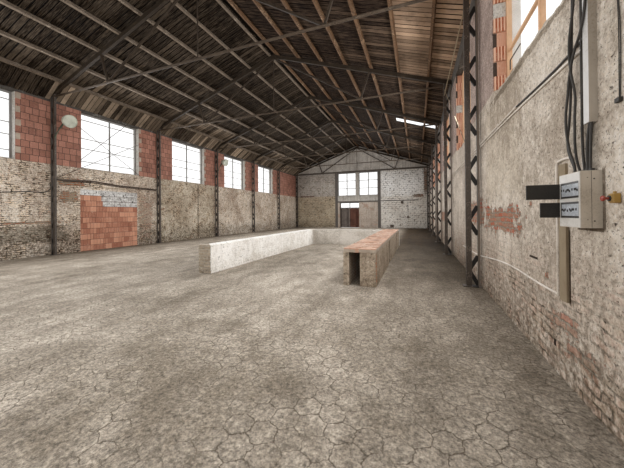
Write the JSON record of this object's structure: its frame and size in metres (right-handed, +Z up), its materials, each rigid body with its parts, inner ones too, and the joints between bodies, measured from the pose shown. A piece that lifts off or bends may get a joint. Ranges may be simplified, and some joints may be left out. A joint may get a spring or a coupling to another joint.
{
  "type": "factory building",
  "caption": "Single-storey brick factory hall with high windows, lattice steel columns, light steel trusses, a boarded pitched roof and a double door in the gable.",
  "frame": {"origin": "on the ground under the middle of the hall, at the bottom centre of its box", "axes": "+X across the hall, towards the wall with the fuse box; +Y along the hall, towards the gable with the double door; +Z up"},
  "size_m": [15.94, 33.86, 9.118],
  "materials": {
    "concrete_floor": "worn dusty concrete, finely cracked",
    "old_brick": "old brick under patchy dirty plaster",
    "clay_block": "bare hollow clay block",
    "dark_beam": "dark weathered beam",
    "white_plaster": "whitewashed plaster, worn at the edges",
    "grey_plaster": "grey plaster, dull",
    "pale_brick": "pale dusty brick",
    "window_steel": "grey paint, dull",
    "window_timber": "weathered paint on wood",
    "glass": "dusty clear glass",
    "door_wood": "dark brown boards, dull",
    "dark_steel": "old dark paint with rust, dull",
    "purlin_steel": "old primer with rust, dull",
    "roof_board": "dark rough-sawn boards",
    "roof_sheet": "weathered fibre cement sheets",
    "duct_masonry": "rough concrete and brick",
    "grey_plastic": "dusty grey plastic",
    "black_plastic": "black plastic, dusty",
    "post_wood": "bare weathered wood",
    "yellow_plastic": "faded yellow plastic",
    "black_rubber": "black cable sheath",
    "pipe_metal": "grey painted pipe, dull",
    "lamp_enamel": "pale enamel, chalky"
  },
  "bodies": {
    "building": {"floor_slab": "concrete_floor", "left_lower_wall": "old_brick", "right_lower_wall": "old_brick", "left_window_piers": "clay_block", "right_window_piers": "clay_block", "eaves_beams": "dark_beam", "doorway_infill": "clay_block", "doorway_lintel": "white_plaster", "left_window_frames": "window_steel", "right_window_frames": "window_timber", "gable_window_frames": "window_steel", "left_window_panes": "glass", "right_window_panes": "glass", "gable_window_panes": "glass", "far_gable_walls": "grey_plaster", "far_gable_spandrel": "grey_plaster", "near_gable_wall": "grey_plaster", "gable_peaks": "grey_plaster", "gable_posts": "dark_beam", "gable_beams": "dark_beam", "gateway_infill": "pale_brick", "door_frame": "door_wood", "left_columns": "dark_steel", "right_columns": "dark_steel", "rafters": "dark_steel", "tie_rods": "dark_steel", "truss_webs": "dark_steel", "left_purlins": "purlin_steel", "right_purlins": "purlin_steel", "left_roof_boards": "roof_board", "right_roof_boards": "roof_board", "left_roof_covering": "roof_sheet", "right_roof_covering": "roof_sheet", "ridge_cap": "roof_sheet", "basin_walls": "white_plaster", "duct_walls": "duct_masonry", "duct_cover": "pale_brick", "fuse_box": "grey_plastic", "fuse_box_covers": "black_plastic", "wall_batten": "post_wood", "stop_button": "yellow_plastic", "cable_trunking": "grey_plastic", "wall_cables": "black_rubber", "wall_pipes": "pipe_metal", "floodlights": "lamp_enamel"},
    "left_leaf": {"left_door_leaf": "door_wood"},
    "right_leaf": {"right_door_leaf": "door_wood"}
  },
  "joints": [
    {"name": "left_leaf_hinge", "type": "hinge", "parent": "building", "child": "left_leaf", "pos_m": [-1.917, 16.738, 1.2], "axis": [0, 0, 1], "range_deg": [0, 100]},
    {"name": "right_leaf_hinge", "type": "hinge", "parent": "building", "child": "right_leaf", "pos_m": [0.117, 16.738, 1.2], "axis": [0, 0, -1], "range_deg": [0, 100]}
  ]
}
